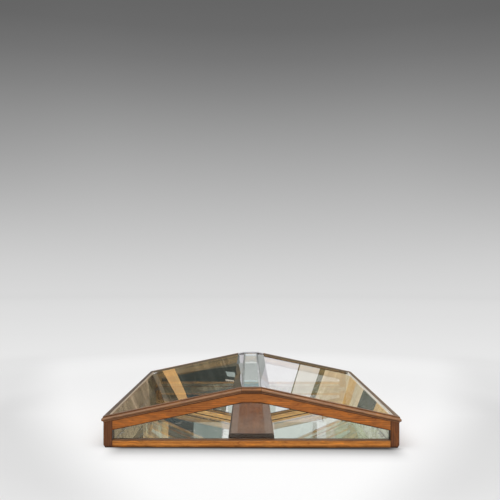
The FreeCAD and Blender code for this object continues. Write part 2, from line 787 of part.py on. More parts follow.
def main():
    os.makedirs("parts", exist_ok=True)
    groups = (floor_parts, frame_parts, front_glazing_parts, cap_parts, roof_glass_parts,
              stop_parts, flap_parts, hinge_parts, knob_part, button_parts)
    for group in groups:
        for name, shape in group().items():
            if not shape.isValid():
                raise ValueError(f"{name} is not a valid shape")
            shape.exportStep(f"parts/{name}.step")
            print(f"{name}: {len(shape.Solids)} solid, {shape.Volume / 1000:.1f} cm3")


main()
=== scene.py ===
"""Finishes, small made pieces and studio for a glazed countertop display case."""

import math

import bmesh
import bpy
from bpy.props import FloatProperty, FloatVectorProperty, PointerProperty
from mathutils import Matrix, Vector


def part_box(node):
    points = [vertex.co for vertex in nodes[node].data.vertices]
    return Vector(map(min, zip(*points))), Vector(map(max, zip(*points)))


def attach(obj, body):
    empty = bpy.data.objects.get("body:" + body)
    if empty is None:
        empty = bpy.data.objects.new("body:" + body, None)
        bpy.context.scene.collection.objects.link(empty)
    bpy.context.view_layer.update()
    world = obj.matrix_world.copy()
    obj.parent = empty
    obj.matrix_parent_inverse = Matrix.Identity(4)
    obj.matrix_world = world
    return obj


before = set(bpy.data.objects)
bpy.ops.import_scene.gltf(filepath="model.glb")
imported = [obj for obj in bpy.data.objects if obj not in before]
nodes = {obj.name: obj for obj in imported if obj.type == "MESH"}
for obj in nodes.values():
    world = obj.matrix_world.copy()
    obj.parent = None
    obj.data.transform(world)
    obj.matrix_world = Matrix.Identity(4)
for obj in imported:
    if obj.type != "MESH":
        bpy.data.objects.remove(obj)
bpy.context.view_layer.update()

bl_info = {
    "name": "Countertop display case",
    "version": (1, 0, 0),
    "blender": (4, 5, 0),
    "location": "3D View > Sidebar > Display case",
    "description": "Dresses the case in wood, glass, mirror and brass, and sets up its studio",
    "category": "Object",
}


def chart(red, green, blue):
    """Scene-linear colour from values of 0 to 255 as read off a colour chart."""
    def channel(value):
        value /= 255
        return value / 12.92 if value <= 0.04045 else ((value + 0.055) / 1.055) ** 2.4
    return channel(red), channel(green), channel(blue)


def colour(name, description, red, green, blue):
    return FloatVectorProperty(name=name, description=description, subtype="COLOR", size=3,
                               min=0, max=1, default=chart(red, green, blue))


def length(name, description, metres, low, high):
    return FloatProperty(name=name, description=description, unit="LENGTH", subtype="DISTANCE",
                         min=low, max=high, precision=5, default=metres)


def share(name, description, value):
    return FloatProperty(name=name, description=description, subtype="FACTOR",
                         min=0, max=1, default=value)


def power(name, description, watts):
    return FloatProperty(name=name, description=description, unit="POWER",
                         min=0, max=500, default=watts)


class DisplayCaseWood(bpy.types.PropertyGroup):
    foot: colour("Foot rails", "Orange oak of the foot rails and side boards", 222, 147, 70)
    foot_vein: colour("Foot rail veins", "Late wood of the foot rails", 146, 78, 26)
    gable: colour("Gable rails", "Oak of the raking rails", 189, 116, 56)
    gable_vein: colour("Gable rail veins", "Late wood of the raking rails", 124, 66, 26)
    post: colour("Posts", "Darker oak of the corner posts", 124, 76, 44)
    post_vein: colour("Post veins", "Late wood of the posts", 70, 38, 22)
    cap: colour("Cap moulding", "Browner oak of the mouldings", 168, 118, 80)
    cap_vein: colour("Cap veins", "Late wood of the mouldings", 96, 62, 42)
    board: colour("Centre board", "Walnut stain of the centre board", 112, 64, 20)
    board_vein: colour("Centre board veins", "Late wood of the centre board", 78, 46, 22)
    bare: colour("Bare wood", "Inner faces and slips that were never polished", 222, 176, 112)
    bare_vein: colour("Bare wood veins", "Late wood of the bare faces", 160, 116, 74)
    # old paint, its left tone darker than the right as painted shade
    left_lining_and_shade: colour("Left lining", "Old paint inside the left side board", 182, 163, 128)
    left_stain: colour("Left stain", "Stains in the old paint on the left", 92, 77, 56)
    right_lining: colour("Right lining", "Old paint inside the right side board", 232, 234, 222)
    right_stain: colour("Right stain", "Stains in the old paint on the right", 176, 176, 130)
    # old paint, darker on the left half as painted shade
    sill: colour("Sill", "Old paint on the left half of the sill", 150, 143, 122)
    end_grain: colour("End grain", "Dark stained ends of the boards", 42, 38, 30)
    side_cap: colour("Side caps", "Darker oak of the long mouldings", 108, 82, 56)
    side_cap_vein: colour("Side cap veins", "Late wood of the long mouldings", 70, 50, 34)
    # dark stain on the caps' top fillet, used as well for painted shade in the quirk below it and
    # over the lower half of the ridge bead
    fillet: colour("Fillet", "Dark stain on the fillet at the top of the caps", 104, 66, 38)
    # painted highlight where the light catches the upper part of the caps' bead
    nosing_highlight: colour("Nosing", "Worn grey line along the bead of the caps", 186, 166, 142)
    margin: colour("Board margins", "Faded margins of the centre board", 122, 104, 92)
    seal: colour("Ridge seal", "Pale strip over the rear lip at the ridge", 204, 205, 207)
    # dark tone for dirt in pores, joints and arrises, and for painted shade in corners, on faces
    # turned down, under the caps and along the sight edges
    dirt_and_shade: colour("Grime", "Old polish and dirt in joints and corners", 38, 24, 16)
    ring_spacing: length("Ring spacing", "Distance between growth rings", 0.0042, 0.001, 0.02)
    pore_depth: length("Pore depth", "How deep the open pores are", 0.00012, 0, 0.001)
    arris_radius: length("Arris radius", "Rounding of the wood's edges", 0.0009, 0, 0.003)
    joint_width: length("Joint width", "Width of the dark line along a joint", 0.0005, 0, 0.003)
    polish: share("Polish", "Weight of the polish over the oak", 0.16)


class DisplayCaseGlass(bpy.types.PropertyGroup):
    tint: colour("Glass tint", "Colour of the panes", 250, 252, 250)
    dust: share("Dust", "Most that dust and wiping marks cover", 0.05)
    waviness: length("Waviness", "Height of the slow waves in the old glass", 0.00004, 0, 0.001)
    silver: colour("Silvering", "Colour of the floor mirrors", 236, 237, 233)
    foxing: colour("Foxing", "Spots where the silvering has failed", 92, 84, 70)
    sheen: share("Sheen", "Weight of the second gloss over the roof panes", 0.5)
    # painted highlight along the arris of the right pane's eave bevel
    arris_highlight: colour("Worn arris", "Rubbed arris of the right pane's eave bevel", 250, 248, 244)
    ground_bevel: colour("Ground bevel", "Unpolished bevels of the ridge strip", 172, 176, 174)
    putty: colour("Putty", "Dark putty in the joints of the roof panes", 92, 92, 88)
    # dirty putty whose dark tone also stands for painted shade and a dark reflection along the rear
    # lip
    rear_putty: colour("Rear putty", "Dirty putty along the rear of the panes", 92, 80, 58)
    left_putty: colour("Left putty", "Beige putty along the left eave", 200, 182, 160)
    right_putty: colour("Right putty", "Paler putty along the right eave", 236, 228, 216)
    putty_width: length("Putty width", "Width of a putty line on the glass", 0.0009, 0.0004, 0.005)
    putty_rise: length("Putty rise", "Height of a putty line over the glass", 0.00025, 0, 0.001)
    rear_putty_width: length("Rear putty width", "How far the rear fillet reaches over the glass",
                             0.007, 0.001, 0.02)
    eave_putty_width: length("Eave putty width", "How far the eave fillets reach over the glass",
                             0.0019, 0.001, 0.02)


class DisplayCaseMetal(bpy.types.PropertyGroup):
    brass: colour("Brass", "Lacquered brass of the fittings", 214, 178, 104)
    brass_age: colour("Aged brass", "Tarnish in the corners of the fittings", 112, 82, 44)
    steel: colour("Steel", "Screws under the base", 150, 148, 142)
    rust: colour("Rust", "Rust on the screws", 104, 62, 38)


class DisplayCaseSurroundings(bpy.types.PropertyGroup):
    umber: colour("Umber", "Dark shelves that the left pane reflects", 84, 76, 60)
    beech: colour("Beech", "Pale wooden edge beside the umber", 228, 180, 120)
    slate: colour("Slate", "Dark opening beside the ridge", 62, 66, 60)
    pewter: colour("Pewter", "High shelf in the dark opening", 58, 70, 74)
    sand: colour("Sand", "Pale end of the left pane", 146, 128, 106)
    chalk: colour("Chalk", "Pale hanging beside the white wall", 228, 222, 211)
    bark: colour("Bark", "Darkest stripe in the left pane", 58, 46, 36)
    dun: colour("Dun", "Grey-brown stripes and posts", 122, 114, 98)
    haze: colour("Haze", "Low part of the wall that the ridge reflects", 236, 246, 252)
    mist: colour("Mist", "Wall between the haze and the pale part", 205, 209, 206)
    olive: colour("Olive", "Shelves in the dark opening", 114, 108, 90)
    mat: colour("Mat", "Dark mat on the floor behind the case", 72, 76, 74)
    blue: colour("Blue grey", "Cool grey of daylight", 184, 196, 190)
    lichen: colour("Lichen", "Green-grey hanging high on the right", 200, 206, 172)
    pale: colour("Pale wall", "Wall that the ridge reflects", 148, 155, 152)
    ice: colour("Ice", "Cool light high on the wall that the ridge reflects", 153, 181, 184)
    white: colour("White wall", "Bright wall beside the ridge", 240, 238, 241)
    linen: colour("Linen", "Off-white hanging", 226, 216, 198)
    moss: colour("Moss", "Dark post in front of the hanging", 104, 98, 72)
    cream: colour("Cream", "Cream cloth", 214, 193, 158)
    amber: colour("Amber", "Lit wood behind the cloth", 206, 166, 108)
    teal: colour("Teal", "Dark grey corner beyond the cloth", 44, 46, 48)


class DisplayCaseStudio(bpy.types.PropertyGroup):
    # painted shade: the floor darker at both sides of the case
    floor_side_shade: colour("Floor sides", "Multiplies the floor's tone at both sides", 227, 227, 227)
    contact: colour("Contact shade", "Floor close to the foot of the case", 120, 112, 104)
    sky_level: FloatProperty(name="Sky level", min=0, max=4, default=0.40,
                             description="Strength of the even light from all round")
    overhead_watts: power("Overhead lamp", "Power of the overhead soft box", 16)
    front_watts: power("Front lamp", "Power of the large front soft box", 20)
    lens: FloatProperty(name="Lens", description="Focal length on a 36 mm sensor", unit="CAMERA",
                        min=10, max=200, default=44.64)


class Signal:
    """A shader socket that arithmetic can be written on; each operator adds its Math node."""

    def __init__(self, finish, socket):
        self.finish = finish
        self.socket = socket

    def math(self, operation, *terms):
        return self.finish.math_of(operation, *terms)

    def __add__(self, other):
        return self.math("ADD", self, other)

    def __sub__(self, other):
        return self.math("SUBTRACT", self, other)

    def __rsub__(self, other):
        return self.math("SUBTRACT", other, self)

    def __mul__(self, other):
        return self.math("MULTIPLY", self, other)

    def __truediv__(self, other):
        return self.math("DIVIDE", self, other)

    def __abs__(self):
        return self.math("ABSOLUTE", self)

    __radd__ = __add__
    __rmul__ = __mul__


class Finish:
    """The shader nodes of one material or of the world."""

    def __init__(self, tree):
        self.tree = tree
        tree.nodes.clear()

    def add(self, kind, settings=None, sockets=None, output=0):
        node = self.tree.nodes.new(kind)
        for key, value in (settings or {}).items():
            if key == "stops":
                self.set_stops(node.color_ramp.elements, value)
            else:
                setattr(node, key, value)
        for key, value in (sockets or {}).items():
            socket = node.inputs[key]
            if isinstance(value, Signal):
                self.tree.links.new(value.socket, socket)
            elif socket.type == "RGBA":
                socket.default_value = (*value, 1)
            else:
                socket.default_value = value
        return Signal(self, node.outputs[output]) if node.outputs else None

    @staticmethod
    def set_stops(elements, stops):
        while len(elements) < len(stops):
            elements.new(1)
        for element, (position, tone) in zip(elements, stops):
            element.position = position
            element.color = (*tone, 1)

    def mix(self, factor, first, second, blend="MIX"):
        return self.add("ShaderNodeMix", {"data_type": "RGBA", "blend_type": blend},
                        {0: factor, 6: first, 7: second}, output=2)

    def blend(self, factor, first, second):
        return self.add("ShaderNodeMixShader", sockets={0: factor, 1: first, 2: second})

    def math_of(self, operation, *terms):
        return self.add("ShaderNodeMath", {"operation": operation}, dict(enumerate(terms)))

    def noise(self, place, scale, detail, roughness=0.5, distortion=0.0):
        return self.add("ShaderNodeTexNoise", sockets={
            "Vector": place, "Scale": scale, "Detail": detail, "Roughness": roughness,
            "Distortion": distortion})

    def place(self, source, move=(0, 0, 0), turn=(0, 0, 0), scale=(1, 1, 1)):
        return self.add("ShaderNodeMapping", {"vector_type": "POINT"},
                        {"Vector": source, "Location": move, "Rotation": turn, "Scale": scale})

    def stretched(self, source, scale, detail, roughness=0.5, distortion=0.0, move=(0, 0, 0)):
        """Noise with a scale of its own along each axis, in waves per metre."""
        return self.noise(self.place(source, move, scale=scale), 1.0, detail, roughness, distortion)

    def step(self, value, low, high):
        """0 where value is under low, 1 over high, smooth between them."""
        return self.add("ShaderNodeMapRange", {"interpolation_type": "SMOOTHSTEP"},
                        {"Value": value, "From Min": low, "From Max": high})

    def ramp(self, value, stops):
        """Grey that follows stops of (position, chart value)."""
        stops = [(position, chart(grey, grey, grey)) for position, grey in stops]
        return self.add("ShaderNodeValToRGB", {"stops": stops}, {"Fac": value}, output="Color")

    def band(self, value, low, high, soft=0.0003):
        """1 where value is between low and high, soft at both ends."""
        over = self.step(value, high - soft, high + soft)
        return self.step(value, low - soft, low + soft) * (1 - over)

    def line(self, value, middle, inner, outer):
        """1 within inner of the middle and of its mirror image, 0 beyond outer."""
        return 1 - self.step(abs(abs(value) - middle), inner, outer)

    def corners(self, distance, samples, low, high):
        """1 where other faces within distance leave less than low of the view open."""
        openness = self.add("ShaderNodeAmbientOcclusion", {"samples": samples},
                            {"Distance": distance}, output="AO")
        return 1 - self.step(openness, low, high)

    def rounded(self, radius):
        return self.add("ShaderNodeBevel", {"samples": 4}, {"Radius": radius})

    def bump(self, strength, distance, height, normal=None):
        sockets = {"Strength": strength, "Distance": distance, "Height": height}
        if normal:
            sockets["Normal"] = normal
        return self.add("ShaderNodeBump", sockets=sockets)

    def ray(self, *kinds):
        """1 on rays of any of the kinds."""
        outputs = self.add("ShaderNodeLightPath").socket.node.outputs
        first, *others = (Signal(self, outputs[f"Is {kind} Ray"]) for kind in kinds)
        return sum(others, first)

    def own_place(self):
        return self.add("ShaderNodeTexCoord", output="Object")

    def parts(self, vector):
        node = self.add("ShaderNodeSeparateXYZ", sockets={"Vector": vector}).socket.node
        return {axis: Signal(self, node.outputs[axis]) for axis in "XYZ"}

    def surface(self, shader):
        self.add("ShaderNodeOutputMaterial", sockets={"Surface": shader})

    def principled(self, sockets):
        return self.add("ShaderNodeBsdfPrincipled", sockets=sockets)

    def diffuse(self, tone):
        return self.add("ShaderNodeBsdfDiffuse", sockets={"Color": tone})

    def glow(self, tone, kind="ShaderNodeEmission", strength=1.0):
        return self.add(kind, sockets={"Color": tone, "Strength": strength})


def new_finish(name):
    material = bpy.data.materials.new(name)
    material.use_nodes = True
    return material, Finish(material.node_tree)


def dress(node, material):
    """Gives every slot of a CAD node the material."""
    for index in range(len(nodes[node].data.materials)):
        nodes[node].data.materials[index] = material


ROOF_PITCH = math.radians(12)
ROOF_FALL = math.tan(ROOF_PITCH)
RIDGE_HALF = 0.0202  # from the middle to where the slopes start
PANE_BEVEL = 0.0175  # width of the bevel beside the ridge
BEVEL_DEPTH = 0.0018  # how far that bevel falls
EAVE_BEVEL = 0.009  # width of the bevel at the eaves
STRIP_BEVEL = 0.0045  # width of the ridge strip's bevels
HIGHLIGHT_HALF = 0.0012  # half the width of the painted highlight along the right pane's eave arris
LIP_HEIGHT = 0.003  # of the cap's lip over the glass
CAP_HEIGHT = 0.0115  # from the roof line to the foot of the cap
SIGHT_DROP = CAP_HEIGHT + 0.0205  # from the roof line to the sight edge of the gable rail
CAP_JOINT = (0.0112, 0.0142)  # from and to of the joint under the rear cap, below the roof line
JOINT_DEPTH = 0.002  # how far the putty goes down between the panes
FILLET_GAP = 0.0001  # between a putty fillet and its lip
FILLET_END = 0.0005  # by which a fillet stops short of the corner

# axis and distance from the middle of joints
POST_JOINT = ("X", 0.282)
SIDE_JOINT = ("Y", 0.288)
STILE_JOINT = ("X", 0.266)

# axis and distance from the middle within which faces were never polished
RAIL_FACE = ("Y", 0.2881)
HEAD_RAIL_FACE = ("Y", 0.2885)
FLAP_FACE = ("Y", 0.2942)
SIDE_BOARD_FACE = ("X", 0.2823)

FIGURE_LIGHT = (1.5, 1.36, 0.95)  # what the bright figure of the oak multiplies its colour by
FIGURE_DARK = (0.66, 0.52, 0.52)
FLECK_TONE = (1.0, 0.86, 0.62)
DUST_TONE = (0.62, 0.60, 0.56)
LINING_CHANGE = (-0.16, -0.02)  # the x over which the darker left paint, with its painted shade, gives way to the right one
ROOF_INDEX = 1.52
GABLE_INDEX = 1.25  # low, so that the gables' own reflections stay faint
WAVE_PERIOD = math.pi / 10  # of the wave texture at a scale of 1
GRAIN_AXIS = {"across": "X", "along": "Y", "upright": "Z", "left rake": "X", "right rake": "X"}
GRAIN_TURN = {
    "across": (0, 0, 0),
    "along": (0, 0, -math.pi / 2),
    "upright": (0, math.pi / 2, 0),
    "left rake": (0, ROOF_PITCH, 0),
    "right rake": (0, -ROOF_PITCH, 0),
}

CAMERA_PLACE = (-0.0044, -1.5615, 0.3428)
CAMERA_ROLL = math.radians(-0.1)
CAMERA_SHIFT = (0.001, 0.0568)
BOARD_DISTANCE = 2.5  # from the middle of the case to the boards behind it
PATCH_DISTANCE = BOARD_DISTANCE - 0.01
FLOOR_RADIUS = 14
FLOOR_DROP = 0.0002  # below the foot of the case, so that the two faces don't meet
# painted falloff of light away from the case: distance from the middle in tens of metres, and chart
# grey
FLOOR_TONES = ((0.0, 251), (0.05, 250), (0.07, 249), (0.093, 246), (0.14, 232), (0.26, 227),
               (0.43, 223), (0.83, 219), (1.0, 216))
# distance before the case in tenths of a metre, and chart grey
CAST_SHADE = ((0, 56), (0.025, 84), (0.06, 130), (0.098, 162), (0.168, 195), (0.238, 202),
              (0.31, 209), (0.45, 225), (0.58, 239), (0.72, 247), (0.9, 252), (1.0, 255))
# twice the rise of the view plus 0.1, and chart grey
BACKDROP_TONES = ((0.06, 216), (0.127, 210), (0.68, 133), (0.764, 118), (0.845, 106),
                  (0.92, 101))
# (foot, top) of a row of boards: its left end, then tone, right edge at foot and top, and streak
BOARD_ROWS = {
    (0.24, 0.62): (
        -1.600, ("sand", -0.785, -0.915, 0.8), ("umber", -0.775, -0.80, 0.9),
        ("bark", -0.75, -0.75, 0.6), ("dun", -0.722, -0.722, 0.4), ("umber", -0.682, -0.646, 0.9),
        ("beech", -0.602, -0.602, 0.2), ("slate", -0.105, -0.172, 0.4),
        ("white", -0.09, -0.09, 0.05), ("pale", 0.09, 0.09, 0.05), ("mist", 0.185, 0.162, 0.1),
        ("white", 0.426, 0.476, 0.03), ("moss", 0.434, 0.484, 0.0), ("chalk", 0.568, 0.598, 0.1),
        ("moss", 0.603, 0.633, 0.3), ("cream", 0.772, 0.822, 0.25), ("amber", 0.822, 0.868, 0.25),
        ("cream", 0.885, 0.903, 0.3), ("teal", 1.0, 1.0, 0.4), ("amber", 1.4, 1.4, 0.3)),
    (0.62, 1.10): (
        -1.600, ("cream", -0.9, -0.9, 0.7), ("umber", -0.84, -0.84, 0.5),
        ("linen", -0.78, -0.78, 0.5), ("umber", -0.70, -0.70, 0.9), ("cream", -0.575, -0.575, 0.9),
        ("beech", -0.534, -0.534, 0.3), ("slate", -0.37, -0.37, 0.3), ("blue", -0.183, -0.183, 0.2),
        ("white", 0.16, 0.16, 0.03), ("blue", 0.411, 0.411, 0.1), ("moss", 0.44, 0.44, 0.3),
        ("white", 0.50, 0.50, 0.1), ("linen", 0.56, 0.56, 0.3), ("lichen", 0.78, 0.78, 0.5),
        ("white", 1.4, 1.4, 0.3)),
}
# tone, left, right, heights of the lower and of the upper edge at both ends, and streak
PATCHES = {
    "low_shelf": ("olive", -0.602, -0.17, (0.10, 0.10), (0.298, 0.426), 0.5),
    "high_shelf": ("pewter", -0.602, -0.20, (0.445, 0.560), (0.62, 0.62), 0.25),
    "shelf_lip": ("olive", -0.56, -0.33, (0.42, 0.487), (0.457, 0.5228), 0.8),
    "daylight": ("blue", -0.305, -0.253, (0.414, 0.445), (0.447, 0.478), 0.3),
    "bright_edge": ("linen", -0.327, -0.280, (0.459, 0.486), (0.470, 0.497), 0.1),
    "dark_rail": ("bark", 0.19, 1.0, (0.0, 0.0), (0.355, 0.182), 0.2),
    "low_haze": ("haze", -0.09, 0.09, (0.24, 0.24), (0.40, 0.40), 0.05),
    "high_haze": ("mist", -0.09, 0.09, (0.40, 0.40), (0.45, 0.45), 0.05),
    "front_haze": ("ice", -0.09, 0.09, (0.562, 0.562), (0.62, 0.62), 0.05),
    "warm_post": ("dun", -0.225, -0.158, (0.50, 0.50), (0.60, 0.60), 0.3),
    "bevel_shade": ("mist", -0.145, -0.09, (0.43, 0.43), (0.62, 0.62), 0.1),
    "bevel_rim": ("pale", -0.158, -0.135, (0.26, 0.26), (0.43, 0.43), 0.2),
    "bevel_stile": ("dun", -0.172, -0.1455, (0.431, 0.431), (0.499, 0.499), 0.1),
}


def oak(name, body, vein, run, seed, joints=(), bare_inside=None, polish=None, bands=(),
        margin=None, sealed=None, lining=None, cap_line=None, shine=0.15):
    """Oak with its grain along the piece, open pores, dirt in joints, worn arrises, and painted
    shade in corners and on faces turned down.

    run is the direction of the grain, and seed moves the figure along.
    joints: (axis, distance from the middle) of the joints that the piece meets.
    bare_inside: (axis, distance) within which its faces were never polished.
    polish: weight of the polish, in place of the property's.
    bands: (from, to, tone, share) of stains, painted shade and painted highlights along the roof
    line, measured down from it.
    margin: distance from the middle beyond which the faces are faded.
    sealed: half the length of the pale seal.
    lining: left and right paint of the unpolished faces, the left one darker as painted shade.
    cap_line: (from, to) of the dark joint under the cap on an unpolished face.
    shine: level of the wood's own reflection.
    """
    wood = bpy.context.scene.display_case_wood
    material, f = new_finish(name)
    place = f.own_place()
    here = f.parts(place)
    grain = f.place(place, (seed * 0.37, seed * 0.061, seed * 0.113), GRAIN_TURN[run])
    rings = f.add("ShaderNodeTexWave", {
        "wave_type": "RINGS", "rings_direction": "X", "wave_profile": "SAW"}, {
        "Vector": f.place(grain, (0, 0.03 + 0.0013 * (seed % 9), 0.045), scale=(0.05, 1, 1)),
        "Scale": WAVE_PERIOD / wood.ring_spacing, "Distortion": 1.6, "Detail": 3.0,
        "Detail Scale": 0.35, "Detail Roughness": 0.6}, output="Fac")
    fibre = f.stretched(grain, (14, 620, 620), 3, 0.6)
    pores = f.step(f.stretched(grain, (55, 1500, 1500), 1), 0.58, 0.70)
    flecks = f.step(f.stretched(grain, (28, 90, 420), 2, move=(3, 1, 2)), 0.60, 0.72)
    figure = f.stretched(grain, (24, 85, 85), 4, 0.62, 0.8, (1, 0, 2))
    late = f.step(rings * 0.5 + fibre * 0.9, 0.45, 1.15)
    slow = f.step(f.stretched(grain, (9, 30, 30), 3, 0.55), 0.3, 0.7)
    skin = f.mix(late * 0.6, body, vein)
    skin = f.mix(flecks * 0.22, skin, FLECK_TONE, "SOFT_LIGHT")
    skin = f.mix(slow * 0.35, skin, vein)
    skin = f.mix(f.step(figure, 0.5, 0.66) * 0.75, skin, FIGURE_LIGHT, "MULTIPLY")
    skin = f.mix((1 - f.step(figure, 0.32, 0.46)) * 0.8, skin, FIGURE_DARK, "MULTIPLY")
    if margin:
        faded = f.step(abs(here["X"]) + figure * 0.004, margin, margin + 0.003)
        worn = f.step(0 - here["Y"] + figure * 0.05, 0.08, 0.28)
        skin = f.mix(faded * 0.75, skin, wood.margin)
        skin = f.mix(worn * 0.4, skin, wood.margin)
        skin = f.mix((1 - worn) * 0.45, skin, FIGURE_DARK, "MULTIPLY")
    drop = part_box("ridge_glass")[1].z + LIP_HEIGHT - here["Z"]
    drop = drop - f.math_of("MAXIMUM", abs(here["X"]) - RIDGE_HALF, 0) * ROOF_FALL
    for low, high, stain, amount in bands:
        skin = f.mix(f.band(drop, low, high) * (amount * (0.7 + 0.6 * slow)), skin, stain)

    if lining:
        blots = f.stretched(grain, (38, 60, 60), 4, 0.66, 1.2, (2, 3, 1))
        side = f.step(here["X"], *LINING_CHANGE)
        stain = f.mix(side, wood.left_stain, wood.right_stain)
        bare = f.mix(f.step(blots, 0.42, 0.68) * 0.75, f.mix(side, *lining), stain)
    else:
        bare = f.mix(late * 0.6, wood.bare, wood.bare_vein)
    if cap_line:
        bare = f.mix(f.band(drop, *cap_line) * 0.9, bare, wood.dirt_and_shade)
    inside = 0
    if bare_inside:
        axis, reach = bare_inside
        inside = 1 - f.step(abs(here[axis]), reach, reach + 0.0004)
        skin = f.mix(inside, skin, bare)

    face = f.add("ShaderNodeNewGeometry", output="Normal")
    facing = f.parts(face)
    rounded = f.rounded(wood.arris_radius)
    level = f.add("ShaderNodeVectorMath", {"operation": "DOT_PRODUCT"}, {0: rounded, 1: face},
                  output="Value")
    arris = f.step(1 - level, 0.02, 0.25)
    rub = f.step(f.noise(place, 38, 3, 0.6), 0.42, 0.66)
    layers = [(pores * 0.45, wood.dirt_and_shade),
              (f.step(abs(facing[GRAIN_AXIS[run]]), 0.7, 0.95) * 0.75, wood.end_grain),
              # painted shade on faces turned down
              (f.step(0 - facing["Z"], 0.45, 0.9) * 0.8, wood.dirt_and_shade)]
    if margin:  # painted shade on the left chamfer of the centre board
        layers.append((f.step(0 - facing["X"], 0.2, 0.5) * 0.7, wood.dirt_and_shade))
    if lining and run == "along":  # the tops of the side boards carry the paint
        layers.append((f.step(facing["Z"], 0.5, 0.9) * 0.85, bare))
    layers += [(arris * rub * 0.5, wood.bare_vein), (arris * (1 - rub) * 0.4, wood.dirt_and_shade),
               # painted shade in corners, where other faces close by leave little of the view open
               (f.corners(0.005, 8, 0.2, 0.8) * 0.7, wood.dirt_and_shade)]
    for axis, distance in joints:
        joint = f.line(here[axis], distance, wood.joint_width * 0.4, wood.joint_width * 1.4)
        layers.append((joint * 0.75, wood.dirt_and_shade))
    # darker towards the foot of each piece, over its lowest few millimetres
    foot = 1 - f.step(here["Z"] + rub * 0.001, 0.001, 0.0055)
    layers.append((foot * 0.8, wood.dirt_and_shade))
    if sealed:
        seal = 1 - f.step(abs(here["X"]), sealed - 0.0005, sealed)
        seal = seal * f.step(facing["Z"] - facing["Y"], 0.3, 0.6)
        layers.append((seal, f.mix(rub * 0.15, wood.seal, wood.margin)))
    for amount, stain in layers:
        skin = f.mix(amount, skin, stain)

    f.surface(f.principled({
        "Base Color": skin,
        "Roughness": 0.30 + fibre * 0.12 + pores * 0.2 + rub * 0.08 + inside * 0.25,
        "Coat Weight": (1 - inside) * (wood.polish if polish is None else polish),
        "Coat Roughness": 0.22, "Specular IOR Level": shine,
        "Normal": f.bump(0.6, wood.pore_depth, fibre * 0.5 - pores, rounded)}))
    return material


def dress_oak(node, *look, kind="oak", **details):
    """Gives a CAD node an oak of its own."""
    dress(node, oak(f"{node}_{kind}", *look, **details))


def clear_glass(name, seed, index, sheen, ground_and_highlight=None):
    """Old clear glass: slow waves, wiping marks and a little dust.

    ground_and_highlight holds the distance from the middle, half the width and the tone of a pale
    line, which is an unpolished bevel on the ridge strip and a painted highlight along the eave
    arris on the right pane.
    """
    glass = bpy.context.scene.display_case_glass
    material, f = new_finish(name)
    place = f.own_place()
    moved = f.place(place, (seed * 0.4, seed * 0.23, 0), (0, 0, 0.5))
    wiped = f.step(f.stretched(moved, (9, 34, 9), 3, 0.6, 0.6), 0.48, 0.8)
    specks = f.step(f.noise(moved, 420, 1), 0.70, 0.78)
    dust = wiped * 0.7 + specks * 0.6
    pane = f.principled({
        "Base Color": glass.tint, "Roughness": dust * 0.05, "IOR": index,
        "Transmission Weight": 1.0, "Coat Weight": sheen, "Coat Roughness": 0.01,
        "Normal": f.bump(1.0, glass.waviness, f.stretched(moved, (5, 9, 5), 1))})
    skin = f.blend(dust * glass.dust, pane, f.diffuse(DUST_TONE))
    if ground_and_highlight:
        middle, half, tone = ground_and_highlight
        pale_line = f.line(f.parts(place)["X"], middle, half - 0.0003, half + 0.0003)
        skin = f.blend(pale_line * (0.6 + 0.4 * wiped), skin, f.diffuse(tone))
    f.surface(skin)
    return material


def silvered(name, seed):
    """Floor mirror with grey foxing that gathers at the edges."""
    glass = bpy.context.scene.display_case_glass
    material, f = new_finish(name)
    place = f.own_place()
    here = f.parts(place)
    moved = f.place(place, (seed * 0.3, seed * 0.7, 0))
    edge = f.math_of("MAXIMUM", f.step(abs(here["Y"]), 0.262, 0.288),
                     f.step(abs(here["X"]), 0.262, 0.284))
    cloud = f.noise(moved, 22, 4, 0.65)
    spots = f.step(f.noise(moved, 160, 2, 0.6) * 0.6 + cloud * 0.5 + edge * 0.16, 0.64, 0.74)
    haze = f.step(cloud + edge * 0.15, 0.5, 0.85)
    f.surface(f.principled({
        "Base Color": f.mix(spots * 0.7, glass.silver, glass.foxing),
        "Metallic": 1 - spots * 0.6, "Roughness": 0.012 + haze * 0.03 + spots * 0.35,
        "Coat Weight": 0.4, "Coat Roughness": 0.02}))
    return material


def aged_brass(name, seed, polished):
    """Brass with tarnish in its corners and rubbed edges."""
    metal = bpy.context.scene.display_case_metal
    material, f = new_finish(name)
    moved = f.place(f.own_place(), (seed, 0.3 * seed, 0))
    cloud = f.noise(moved, 120, 4, 0.6)
    lines = f.stretched(moved, (2600, 220, 420), 1)
    age = f.step(cloud + f.corners(0.003, 6, 0.3, 0.9) * 0.5 - polished, 0.42, 0.95)
    f.surface(f.principled({
        "Base Color": f.mix(age, metal.brass, metal.brass_age),
        "Metallic": 1 - age * 0.25, "Roughness": 0.22 + age * 0.3 + lines * 0.08,
        "Normal": f.bump(0.3, 0.00003, lines, f.rounded(0.00035))}))
    return material


def screw_steel(name):
    """Steel with spots of rust."""
    metal = bpy.context.scene.display_case_metal
    material, f = new_finish(name)
    rust = f.step(f.noise(f.own_place(), 240, 4, 0.65), 0.52, 0.7)
    f.surface(f.principled({
        "Base Color": f.mix(rust * 0.8, metal.steel, metal.rust), "Metallic": 1 - rust,
        "Roughness": 0.35 + rust * 0.4, "Normal": f.bump(0.4, 0.0001, rust)}))
    return material


def old_putty(name, tone):
    """Crumbled putty that has taken on dirt in its hollows."""
    material, f = new_finish(name)
    crumbs = f.noise(f.place(f.own_place(), scale=(1, 0.4, 1)), 700, 3, 0.6)
    dirty = tuple(value * 0.55 for value in tone)
    f.surface(f.principled({
        "Base Color": f.mix(f.step(crumbs, 0.35, 0.75) * 0.6, tone, dirty),
        "Roughness": 0.6 + crumbs * 0.2, "Normal": f.bump(0.5, 0.0001, crumbs)}))
    return material


